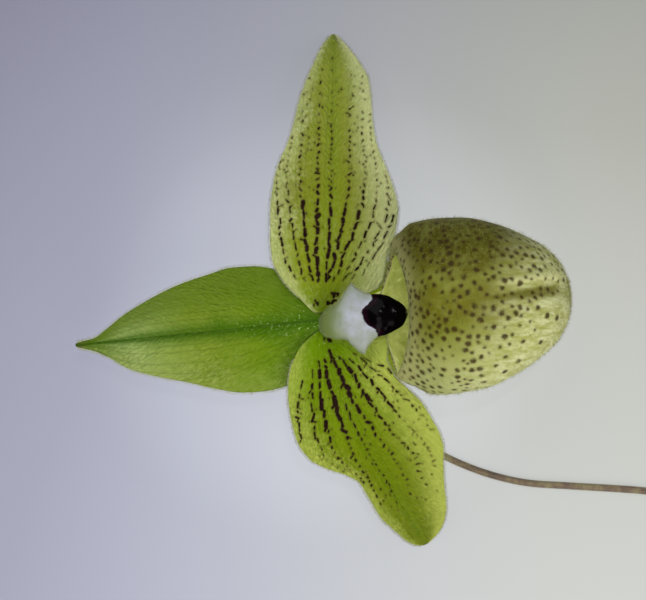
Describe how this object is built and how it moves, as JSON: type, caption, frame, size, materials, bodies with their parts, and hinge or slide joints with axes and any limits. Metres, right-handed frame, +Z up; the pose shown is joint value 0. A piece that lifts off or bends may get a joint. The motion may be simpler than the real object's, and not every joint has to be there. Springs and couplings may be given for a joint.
{
  "type": "slipper orchid flower",
  "caption": "Cut slipper orchid flower with spotted petals and an inflated pouch, lying on its back on its petal tips and flower stem.",
  "frame": {"origin": "middle of the footprint, on the surface that the flower lies on", "axes": "+Z up, the way the flower faces; +X from the dorsal sepal's tip towards the pouch and the cut end of the stem"},
  "size_m": [0.1538, 0.1078, 0.0469],
  "materials": {
    "sepal": "waxy leaf surface",
    "petal": "waxy petal with purple-brown lines of spots",
    "lip": "satin, downy pouch with brown spots",
    "column": "waxy white",
    "staminode": "waxy white with a glossy maroon-black tip",
    "pollen": "sticky pollen",
    "ovary": "downy, ribbed",
    "bract": "leafy",
    "scape": "downy purple-brown stem"
  },
  "bodies": {
    "root": {"dorsal_sepal": "sepal", "synsepal": "sepal", "petal_right": "petal", "petal_left": "petal", "lip": "lip", "column": "column", "staminode": "staminode", "anther_right": "pollen", "anther_left": "pollen", "ovary": "ovary", "bract": "bract", "scape": "scape"}
  },
  "joints": []
}
